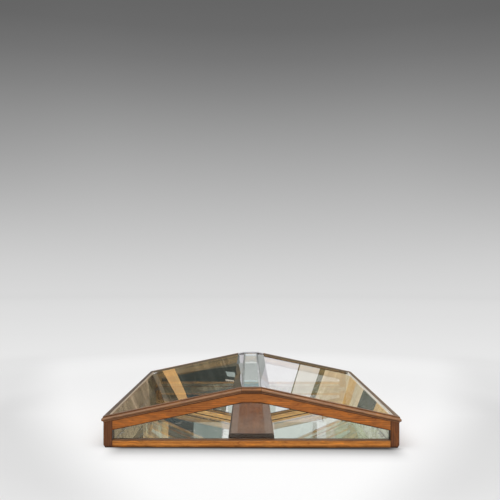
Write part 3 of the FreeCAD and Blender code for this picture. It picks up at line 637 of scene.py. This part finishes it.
class DISPLAYCASE_OT_frame(bpy.types.Operator):
    """Polish the rails, posts and side boards of the case"""
    bl_idname = "display_case.frame"
    bl_label = "Frame"

    def execute(self, context):
        wood = context.scene.display_case_wood
        foot, gable = (wood.foot, wood.foot_vein), (wood.gable, wood.gable_vein)
        foot_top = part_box("front_bottom_rail")[1].z
        foot_lines = [("Z", foot_top - 0.0003), ("Z", foot_top - 0.0013)]
        # painted shade under the cap's overhang and along the rails' sight edges
        shade = [(CAP_HEIGHT - 0.001, CAP_HEIGHT + 0.0017, wood.dirt_and_shade, 0.75),
                 (SIGHT_DROP - 0.0018, SIGHT_DROP + 0.003, wood.dirt_and_shade, 0.8)]
        rails = {
            "front_bottom_rail": (foot, {"joints": [POST_JOINT, *foot_lines]}),
            "rear_bottom_rail": (foot, {"bare_inside": RAIL_FACE,
                                        "lining": (wood.sill, wood.right_lining)}),
            "front_gable_rail": (gable, {"bare_inside": RAIL_FACE, "bands": shade}),
            "rear_head_rail": (gable, {"bare_inside": HEAD_RAIL_FACE, "bands": shade,
                                       "cap_line": CAP_JOINT}),
        }
        for seed, (name, (tones, details)) in enumerate(rails.items(), 1):
            dress_oak(name, *tones, "across", seed, **{"joints": [POST_JOINT], **details})
        posts = ("front_left_post", "front_right_post", "rear_left_post", "rear_right_post")
        for seed, name in enumerate(posts, 11):
            dress_oak(name, wood.post, wood.post_vein, "upright", seed, [POST_JOINT, SIDE_JOINT])
        for seed, name in enumerate(("left_side_board", "right_side_board"), 21):
            dress_oak(name, *foot, "along", seed, [SIDE_JOINT], SIDE_BOARD_FACE,
                      lining=(wood.left_lining_and_shade, wood.right_lining))
        return {"FINISHED"}


class DISPLAYCASE_OT_cap(bpy.types.Operator):
    """Polish the eight lengths of the cap moulding"""
    bl_idname = "display_case.cap"
    bl_label = "Cap moulding"

    def execute(self, context):
        wood = context.scene.display_case_wood
        runs = {
            "cap_front_left": "left rake", "cap_front_ridge": "across",
            "cap_front_right": "right rake", "cap_rear_left": "left rake",
            "cap_rear_ridge": "across", "cap_rear_right": "right rake",
            "cap_left": "along", "cap_right": "along",
        }
        # top band: dark stain on the fillet with painted shade in its quirk; rake bands add a
        # painted highlight on the bead, ridge bands painted shade over its lower half
        top = (-0.001, 0.0017, wood.fillet, 0.6)
        rake_bands = [top, (0.0036, 0.0058, wood.nosing_highlight, 0.25)]
        ridge_bands = [top, (0.0056, 0.0125, wood.fillet, 0.65)]
        for seed, (name, run) in enumerate(runs.items(), 31):
            if run == "along":
                body = wood.side_cap_vein if name == "cap_left" else wood.side_cap
                dress_oak(name, body, wood.side_cap_vein, run, seed)
            else:
                dress_oak(name, wood.cap, wood.cap_vein, run, seed, [("X", RIDGE_HALF)],
                          bands=ridge_bands if run == "across" else rake_bands,
                          sealed=RIDGE_HALF + PANE_BEVEL if "rear" in name else None)
        return {"FINISHED"}


class DISPLAYCASE_OT_floor(bpy.types.Operator):
    """Finish the base board, its screws, the centre board and the floor mirrors"""
    bl_idname = "display_case.floor"
    bl_label = "Floor"

    def execute(self, context):
        wood = context.scene.display_case_wood
        dress_oak("base_board", wood.bare, wood.bare_vein, "along", 41, polish=0.0, kind="pine")
        dress_oak("centre_board", wood.board, wood.board_vein, "along", 42, polish=0.02,
                  margin=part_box("centre_board")[1].x * 0.62, shine=0.04)
        dress("base_screws", screw_steel("base_screw_steel"))
        for seed, name in enumerate(("mirror_left", "mirror_right"), 1):
            dress(name, silvered(name + "_silver", seed))
        return {"FINISHED"}


class DISPLAYCASE_OT_glazing(bpy.types.Operator):
    """Clear the panes, and finish the slips that hold them"""
    bl_idname = "display_case.glazing"
    bl_label = "Glazing"

    def execute(self, context):
        wood = context.scene.display_case_wood
        glass = context.scene.display_case_glass
        gable, roof = (GABLE_INDEX, 0.0), (ROOF_INDEX, glass.sheen)
        panes = {"front_glass": gable, "flap_glass": gable, "left_roof_glass": roof,
                 "ridge_glass": roof, "right_roof_glass": roof}
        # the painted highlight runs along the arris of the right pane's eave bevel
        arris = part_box("right_roof_glass")[1].x - EAVE_BEVEL
        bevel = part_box("ridge_glass")[1].x - STRIP_BEVEL / 2
        ground_and_highlight = {"right_roof_glass": (arris, HIGHLIGHT_HALF, glass.arris_highlight),
                  "ridge_glass": (bevel, STRIP_BEVEL / 2, glass.ground_bevel)}
        for seed, (name, (index, sheen)) in enumerate(panes.items(), 1):
            dress(name, clear_glass(name + "_pane", seed, index, sheen, ground_and_highlight.get(name)))
            nodes[name].visible_shadow = False
        pine = (wood.bare, wood.bare_vein)
        slips = {"front_glazing_beads": (wood.margin, wood.board_vein),
                 "flap_glazing_beads": pine, "flap_stop_slips": pine}
        for seed, (name, tones) in enumerate(slips.items(), 51):
            dress_oak(name, *tones, "across", seed, polish=0.0, kind="pine")
        return {"FINISHED"}


def lay_strip(context, name, section, stations, material):
    """A closed strip through the points that section gives for each station."""
    work = bmesh.new()
    rows = [[work.verts.new(point) for point in section(station)] for station in stations]
    for first, second in zip(rows, rows[1:]):
        for index in range(len(first)):
            after = (index + 1) % len(first)
            work.faces.new((first[index], second[index], second[after], first[after]))
    work.faces.new(rows[0])
    work.faces.new(reversed(rows[-1]))
    bmesh.ops.recalc_face_normals(work, faces=work.faces)
    mesh = bpy.data.meshes.new(name)
    work.to_mesh(mesh)
    work.free()
    mesh.materials.append(material)
    mesh.shade_smooth()
    piece = bpy.data.objects.new(name, mesh)
    context.scene.collection.objects.link(piece)
    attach(piece, "case")


def roof_glass_height(x):
    """Height of the panes' upper faces over x, away from their bevels."""
    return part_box("ridge_glass")[1].z - max(0, abs(x) - RIDGE_HALF) * ROOF_FALL


def hand_laid(station, seed):
    """Share by which a line of putty laid by hand is wider here."""
    return 1 + 0.12 * math.sin(station * 61 + seed) * math.sin(station * 17.3 + seed * 2)


def spread(low, high, gaps):
    """Stations from low to high with as many even gaps between them."""
    return [low + (high - low) * index / gaps for index in range(gaps + 1)]


class DISPLAYCASE_OT_putty(bpy.types.Operator):
    """Lay the dark putty between the roof panes and the fillets along their rear and eave edges"""
    bl_idname = "display_case.putty"
    bl_label = "Pane putty"

    def execute(self, context):
        glass = context.scene.display_case_glass
        self.lay_joints(context, glass)
        self.lay_rear_fillets(context, glass)
        self.lay_eave_fillets(context, glass)
        return {"FINISHED"}

    def lay_joints(self, context, glass):
        """Dark lines in the joints on both sides of the ridge strip."""
        low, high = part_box("ridge_glass")
        material = old_putty("pane_joint_putty", glass.putty)
        joint = (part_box("right_roof_glass")[0].x - high.x) / 2
        foot = joint * 0.9
        floor = high.z - BEVEL_DEPTH
        rise, crown = glass.putty_rise, glass.putty_rise * 1.8
        for seed, (side, name) in enumerate(((-1, "left_pane_putty"), (1, "right_pane_putty"))):
            middle = side * (high.x + joint)

            def section(y):
                wide = glass.putty_width / 2 * hand_laid(y, seed)
                return [(middle + across, y, floor + up) for across, up in (
                    (-foot, -JOINT_DEPTH), (-wide, rise), (-wide * 0.5, crown),
                    (wide * 0.5, crown), (wide, rise), (foot, -JOINT_DEPTH))]

            lay_strip(context, name, section, spread(low.y, high.y, 120), material)

    def lay_rear_fillets(self, context, glass):
        """Fillets in the corner between the rear lip and the panes, up to the ridge's bevels; their
        dark putty also stands for painted shade and a dark reflection along the lip.
        """
        material = old_putty("rear_putty", glass.rear_putty)
        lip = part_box("cap_rear_left")[0].y
        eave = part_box("cap_right")[0].x
        stations = spread(RIDGE_HALF + PANE_BEVEL, eave - FILLET_END, 80)
        for seed, (side, name) in enumerate(((-1, "rear_left_putty"), (1, "rear_right_putty"))):

            def section(x):
                foot = roof_glass_height(x) - 0.00002  # a hair into the glass
                wide = glass.rear_putty_width * hand_laid(x, seed)
                return [(side * x, y, foot + up) for y, up in (
                    (lip - FILLET_GAP, 0), (lip - wide, 0),
                    (lip - wide * 0.55, LIP_HEIGHT * 0.32), (lip - FILLET_GAP, LIP_HEIGHT * 0.93))]

            lay_strip(context, name, section, stations, material)

    def lay_eave_fillets(self, context, glass):
        """Thin fillets between the side lips and the panes' lower bevels."""
        front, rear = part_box("cap_front_left")[1].y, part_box("cap_rear_left")[0].y
        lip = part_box("cap_right")[0].x
        top = roof_glass_height(lip)
        stations = spread(front + FILLET_END, rear - FILLET_END, 120)
        sides = ((-1, "left_eave_putty", glass.left_putty),
                 (1, "right_eave_putty", glass.right_putty))
        for seed, (side, name, tone) in enumerate(sides):

            def section(y):
                wide = glass.eave_putty_width * hand_laid(y, seed)
                return [(side * (lip - inset), y, top + inset * ROOF_FALL + up) for inset, up in (
                    (FILLET_GAP, -0.0006), (wide, -0.0003), (wide * 0.5, 0.0008),
                    (FILLET_GAP, 0.0016))]

            lay_strip(context, name, section, stations, old_putty(name, tone))


class DISPLAYCASE_OT_flap(bpy.types.Operator):
    """Polish the rails and stiles of the rear flap"""
    bl_idname = "display_case.flap"
    bl_label = "Rear flap"

    def execute(self, context):
        wood = context.scene.display_case_wood
        runs = {"flap_bottom_rail": "across", "flap_top_rail": "across",
                "flap_left_stile": "upright", "flap_right_stile": "upright"}
        for seed, (name, run) in enumerate(runs.items(), 61):
            lining = (wood.sill, wood.right_lining) if name == "flap_bottom_rail" else None
            dress_oak(name, wood.gable, wood.gable_vein, run, seed, [STILE_JOINT], FLAP_FACE,
                      lining=lining)
        return {"FINISHED"}


class DISPLAYCASE_OT_brass(bpy.types.Operator):
    """Age the hinges, knob, turn buttons and brass screws"""
    bl_idname = "display_case.brass"
    bl_label = "Brass fittings"

    def execute(self, context):
        fittings = {
            ("hinge_brass", 0.0): (
                "left_hinge_case_leaf", "right_hinge_case_leaf", "left_hinge_flap_leaf",
                "right_hinge_flap_leaf", "left_hinge_pin", "right_hinge_pin"),
            ("turned_brass", 0.12): ("flap_knob", "left_turn_button", "right_turn_button"),
            ("screw_brass", 0.0): ("case_hinge_screws", "flap_hinge_screws",
                                   "turn_button_screws"),
        }
        for seed, ((name, polished), pieces) in enumerate(fittings.items(), 1):
            brass = aged_brass(name, seed, polished)
            for piece in pieces:
                dress(piece, brass)
        return {"FINISHED"}


def soft_box(name, place, aim, wide, high, watts):
    """A rectangular lamp at a place, turned to its aim."""
    lamp = bpy.data.lights.new(name, "AREA")
    lamp.shape = "RECTANGLE"
    lamp.size, lamp.size_y, lamp.energy = wide, high, watts
    piece = bpy.data.objects.new(name, lamp)
    piece.location = place
    piece.rotation_euler = (Vector(aim) - Vector(place)).to_track_quat("-Z", "Y").to_euler()
    bpy.context.scene.collection.objects.link(piece)
    return piece


def upright(distance, *corners):
    """Corners (x, z) of an upright board at a distance behind the middle of the case."""
    return [(x, distance, z) for x, z in corners]


def stage_board(name, corners, tone, streak):
    """A board behind the case that only its glass, mirrors and metal see.

    streak: weight of the dark folds and bright glints on it.
    """
    mesh = bpy.data.meshes.new(name)
    mesh.from_pydata(corners, [], [(0, 1, 2, 3)])
    material, f = new_finish(name)
    place = f.own_place()
    folds = f.stretched(place, (20, 1, 3), 4, 0.65, 0.4)
    glints = f.stretched(place, (34, 1, 4), 3, 0.6, move=(5, 0, 2))
    shade = tuple(value * 0.3 for value in tone)
    light = tuple(min(1.0, value * 2.0 + 0.02) for value in tone)
    skin = f.mix(f.step(folds, 0.38, 0.62) * streak, tone, shade)
    skin = f.mix(f.step(glints, 0.56, 0.68) * (streak * 0.7), skin, light)
    f.surface(f.glow(skin))
    mesh.materials.append(material)
    piece = bpy.data.objects.new(name, mesh)
    piece.visible_camera = piece.visible_diffuse = piece.visible_shadow = False
    bpy.context.scene.collection.objects.link(piece)


class DISPLAYCASE_OT_studio(bpy.types.Operator):
    """Set the pale floor, graded backdrop, soft boxes, glass boards and camera"""
    bl_idname = "display_case.studio"
    bl_label = "Studio"

    def execute(self, context):
        studio = context.scene.display_case_studio
        self.lay_floor(context, studio)
        self.grade_world(context, studio)
        soft_box("overhead_soft_box", place=(-0.1, -0.4, 1.5), aim=(0, 0, 0), wide=1.8,
                 high=1.2, watts=studio.overhead_watts)
        front = soft_box("front_soft_box", place=(0.9, -2.3, 1.1), aim=(0.05, 0, 0.05),
                         wide=2.0, high=1.2, watts=studio.front_watts)
        # the back of the panes and the floor mirrors would show it to a camera behind the case
        front.visible_glossy = front.visible_transmission = False
        self.set_boards(context)
        self.set_camera(context, studio)
        context.scene.view_settings.view_transform = "Standard"
        return {"FINISHED"}

    def lay_floor(self, context, studio):
        """Paper that glows in its own tones where it is seen, and takes light where it isn't."""
        mesh = bpy.data.meshes.new("studio_floor")
        work = bmesh.new()
        bmesh.ops.create_circle(work, cap_ends=True, segments=96, radius=FLOOR_RADIUS)
        work.to_mesh(mesh)
        work.free()
        material, f = new_finish("studio_floor_paper")
        place = f.own_place()
        here = f.parts(place)
        away = f.add("ShaderNodeVectorMath", {"operation": "LENGTH"}, {0: place}, output="Value")
        tone = f.ramp(away / 10, FLOOR_TONES)
        # painted shade towards both sides of the case
        aside = abs(here["X"]) - here["Y"] * 0.3 + f.math_of("MAXIMUM", 0 - here["Y"], 0) * 0.25
        side = f.step(aside, 0.44, 0.65) * (1 - 0.4 * f.step(away, 0.6, 0.8))
        tone = f.mix(side * (1 - f.step(away, 0.9, 1.7)), tone, studio.floor_side_shade, "MULTIPLY")
        tone = f.mix(f.noise(place, 90, 3) * 0.02, tone, (0.6, 0.6, 0.6))
        # painted contact shadow round the foot, stronger to the right
        contact = f.corners(0.09, 8, 0.42, 0.96) * (0.12 + 0.2 * f.step(here["X"], 0, 0.3))
        tone = f.mix(contact, tone, studio.contact)
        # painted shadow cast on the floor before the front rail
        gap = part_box("front_bottom_rail")[0].y - here["Y"] - here["X"] * 0.012
        before = f.step(gap, -0.006, -0.001) * (1 - f.step(abs(here["X"] - 0.008), 0.266, 0.306))
        tone = f.mix(before, tone, f.ramp(gap * 10, CAST_SHADE), "MULTIPLY")
        seen = f.ray("Camera", "Glossy", "Transmission")
        paper = f.diffuse(f.mix(seen, chart(190, 190, 190), tone))
        f.surface(f.blend(seen * (0.5 + 0.5 * f.step(away, 0.45, 1.2)), paper, f.glow(tone)))
        mesh.materials.append(material)
        floor = bpy.data.objects.new("studio_floor", mesh)
        floor.location.z = -FLOOR_DROP
        context.scene.collection.objects.link(floor)

    def grade_world(self, context, studio):
        """A graded backdrop for the camera, a plain room for the glass and an even fill light."""
        world = bpy.data.worlds.new("studio_world")
        world.use_nodes = True
        context.scene.world = world
        f = Finish(world.node_tree)
        heading = f.parts(f.add("ShaderNodeTexCoord", output="Generated"))
        up = heading["Z"]
        sides = f.step(abs(heading["X"]), 0.2, 0.42)
        graded = f.mix(sides * 0.1 * f.step(up, 0.02, 0.2), f.ramp(up * 2 + 0.1, BACKDROP_TONES),
                       (0, 0, 0))
        ahead = f.step(heading["Y"] + up, -0.5, 0.1)
        room = f.mix(ahead, chart(150, 146, 140), (0.92, 0.93, 0.94))
        kind = "ShaderNodeBackground"
        rest = f.blend(f.ray("Glossy", "Transmission"), f.glow((1, 1, 1), kind, studio.sky_level),
                       f.glow(room, kind))
        f.add("ShaderNodeOutputWorld", sockets={
            "Surface": f.blend(f.ray("Camera"), rest, f.glow(graded, kind))})

    def set_boards(self, context):
        """Two rows of boards, of which the roof panes reflect the lower and the floor mirrors the
        upper one, and a few patches before them."""
        tones = context.scene.display_case_surroundings
        for (foot, top), (start, *boards) in BOARD_ROWS.items():
            low_left = high_left = start
            for tone, low_right, high_right, streak in boards:
                board = upright(BOARD_DISTANCE, (low_left, foot), (low_right, foot),
                                (high_right, top), (high_left, top))
                stage_board(f"{tone}_board_{foot}_{low_right}", board, getattr(tones, tone), streak)
                low_left, high_left = low_right, high_right
        for name, (tone, left, right, feet, tops, streak) in PATCHES.items():
            patch = upright(PATCH_DISTANCE, (left, feet[0]), (right, feet[1]), (right, tops[1]),
                            (left, tops[0]))
            stage_board(name, patch, getattr(tones, tone), streak)
        mat = ((-0.66, 0.325), (-0.05, 0.325), (-0.05, 1.7), (-0.66, 1.7))
        stage_board("dark_mat", [(x, y, 0.0005) for x, y in mat], tones.mat, 0.2)

    def set_camera(self, context, studio):
        camera = bpy.data.objects.new("studio_camera", bpy.data.cameras.new("studio_camera"))
        camera.data.lens = studio.lens
        camera.data.shift_x, camera.data.shift_y = CAMERA_SHIFT
        camera.location = CAMERA_PLACE
        camera.rotation_euler = (math.pi / 2, CAMERA_ROLL, 0)
        context.scene.collection.objects.link(camera)
        context.scene.camera = camera


operators = (DISPLAYCASE_OT_frame, DISPLAYCASE_OT_cap, DISPLAYCASE_OT_floor,
             DISPLAYCASE_OT_glazing, DISPLAYCASE_OT_putty, DISPLAYCASE_OT_flap,
             DISPLAYCASE_OT_brass, DISPLAYCASE_OT_studio)
settings = {"display_case_wood": DisplayCaseWood, "display_case_glass": DisplayCaseGlass,
            "display_case_metal": DisplayCaseMetal,
            "display_case_surroundings": DisplayCaseSurroundings,
            "display_case_studio": DisplayCaseStudio}


class DISPLAYCASE_PT_panel(bpy.types.Panel):
    """Lists the display case's pieces, finishes and studio"""
    bl_idname = "DISPLAYCASE_PT_panel"
    bl_label = "Display case"
    bl_space_type = "VIEW_3D"
    bl_region_type = "UI"
    bl_category = "Display case"

    def draw(self, context):
        for operator in operators:
            self.layout.operator(operator.bl_idname)
        for name, group in settings.items():
            box = self.layout.box()
            for key in group.__annotations__:
                box.prop(getattr(context.scene, name), key)


def register():
    for group in settings.values():
        bpy.utils.register_class(group)
    for name, group in settings.items():
        setattr(bpy.types.Scene, name, PointerProperty(type=group))
    for operator in operators:
        bpy.utils.register_class(operator)
    bpy.utils.register_class(DISPLAYCASE_PT_panel)


def unregister():
    bpy.utils.unregister_class(DISPLAYCASE_PT_panel)
    for operator in reversed(operators):
        bpy.utils.unregister_class(operator)
    for name, group in settings.items():
        delattr(bpy.types.Scene, name)
        bpy.utils.unregister_class(group)


def main():
    register()
    bpy.ops.display_case.frame()
    bpy.ops.display_case.cap()
    bpy.ops.display_case.floor()
    bpy.ops.display_case.glazing()
    bpy.ops.display_case.putty()
    bpy.ops.display_case.flap()
    bpy.ops.display_case.brass()
    bpy.ops.display_case.studio()


if __name__ == "__main__":
    main()
